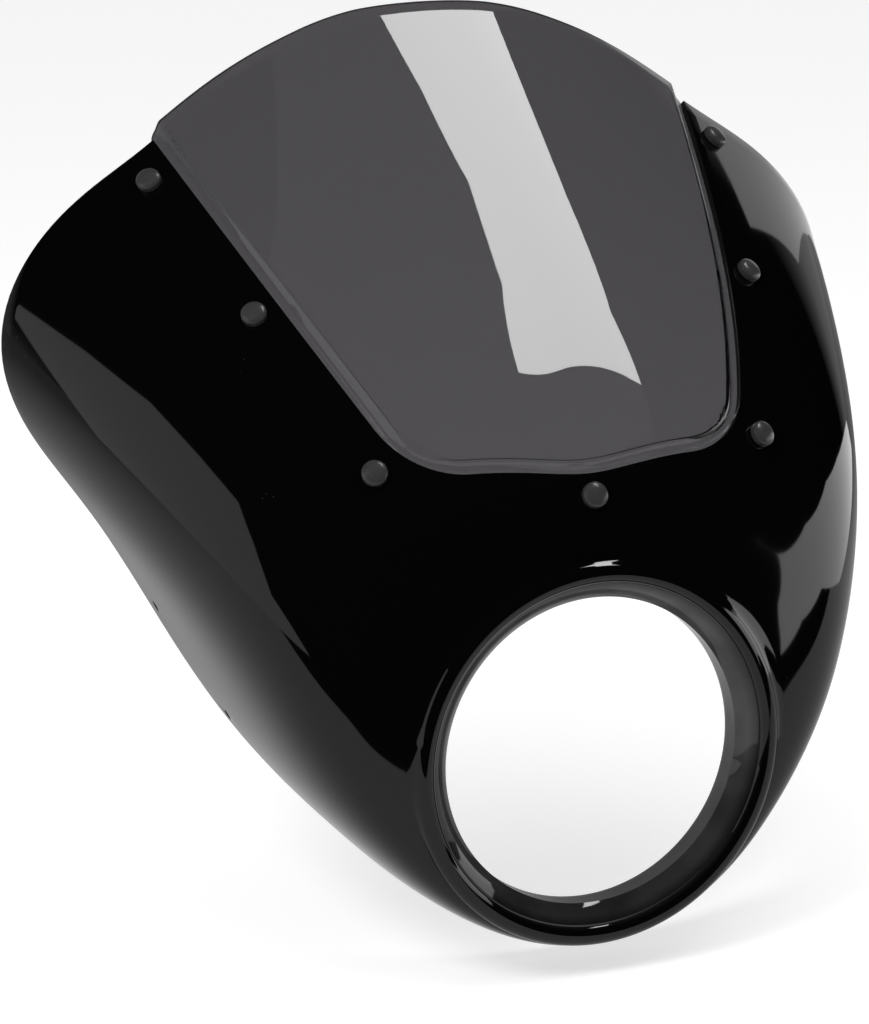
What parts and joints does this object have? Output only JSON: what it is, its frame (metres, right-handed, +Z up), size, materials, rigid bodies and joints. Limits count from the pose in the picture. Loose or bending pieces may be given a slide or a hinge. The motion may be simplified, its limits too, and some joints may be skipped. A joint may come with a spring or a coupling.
{
  "type": "headlight cowl",
  "caption": "Gloss black moulded cowl around a round headlamp opening, with a smoke-tinted windscreen set into its upper window and capped fasteners along the seam.",
  "frame": {"origin": "centre of the headlamp opening, at the front end of its round wall", "axes": "+X to the viewer's right seen from the front, +Y backwards along the bike, +Z up"},
  "size_m": [0.4822, 0.2432, 0.4637],
  "materials": {
    "shell_black": "polished black, moulded",
    "screen_tint": "smoke-tinted clear acrylic, polished",
    "cap_black": "satin black moulded cap",
    "screw_steel": "plated steel",
    "washer_rubber": "black rubber",
    "nut_steel": "plated steel"
  },
  "bodies": {
    "root": {"cowl_shell": "shell_black", "windscreen": "screen_tint", "cap_right_top": "cap_black", "cap_right_middle": "cap_black", "cap_right_lower": "cap_black", "cap_centre_lower": "cap_black", "cap_left_lower": "cap_black", "cap_left_middle": "cap_black", "cap_left_top": "cap_black", "screw_right_top": "screw_steel", "screw_right_middle": "screw_steel", "screw_right_lower": "screw_steel", "screw_centre_lower": "screw_steel", "screw_left_lower": "screw_steel", "screw_left_middle": "screw_steel", "screw_left_top": "screw_steel", "washer_right_top": "washer_rubber", "washer_right_middle": "washer_rubber", "washer_right_lower": "washer_rubber", "washer_centre_lower": "washer_rubber", "washer_left_lower": "washer_rubber", "washer_left_middle": "washer_rubber", "washer_left_top": "washer_rubber", "nut_right_top": "nut_steel", "nut_right_middle": "nut_steel", "nut_right_lower": "nut_steel", "nut_centre_lower": "nut_steel", "nut_left_lower": "nut_steel", "nut_left_middle": "nut_steel", "nut_left_top": "nut_steel"}
  },
  "joints": []
}
